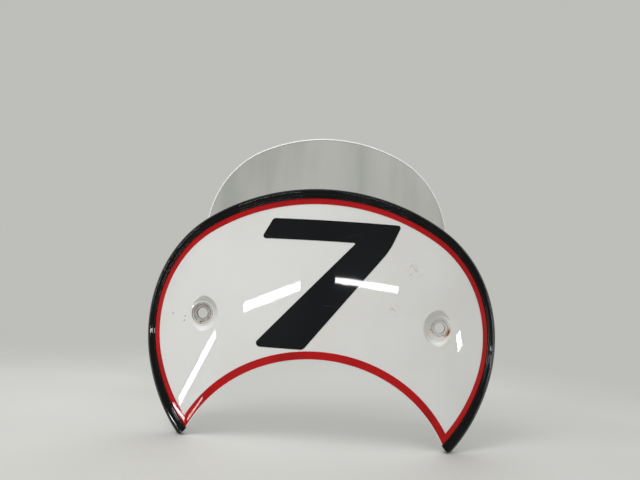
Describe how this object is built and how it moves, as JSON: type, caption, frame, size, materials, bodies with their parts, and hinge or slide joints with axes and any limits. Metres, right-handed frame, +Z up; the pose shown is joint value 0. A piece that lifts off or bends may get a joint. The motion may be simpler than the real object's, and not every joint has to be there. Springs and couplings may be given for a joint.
{
  "type": "headlight fairing mask",
  "caption": "Wrapped number-board mask with a round lamp cut-out, sunk screw seats, a black edge moulding and a clear screen behind its top edge.",
  "frame": {"origin": "midway between the two mounting holes, on the plane of their flat screw seats", "axes": "+X to the right and +Z up the board seen from the front, +Y backwards; the board faces -Y"},
  "size_m": [0.306, 0.0522, 0.255],
  "materials": {
    "white_board": "gloss white moulded plastic",
    "black_trim": "gloss black moulded plastic",
    "red_film": "gloss red film under lacquer",
    "black_film": "gloss black film under lacquer",
    "clear_sheet": "clear acrylic sheet with polished edge",
    "screw_steel": "plain stainless steel",
    "soft_washer": "matt black rubber",
    "insert_brass": "plain brass"
  },
  "bodies": {
    "root": {"mask_panel": "white_board", "edge_trim": "black_trim", "red_border": "red_film", "race_numeral": "black_film", "windscreen": "clear_sheet", "screen_screws": "screw_steel", "screen_washers": "soft_washer", "threaded_inserts": "insert_brass"}
  },
  "joints": []
}
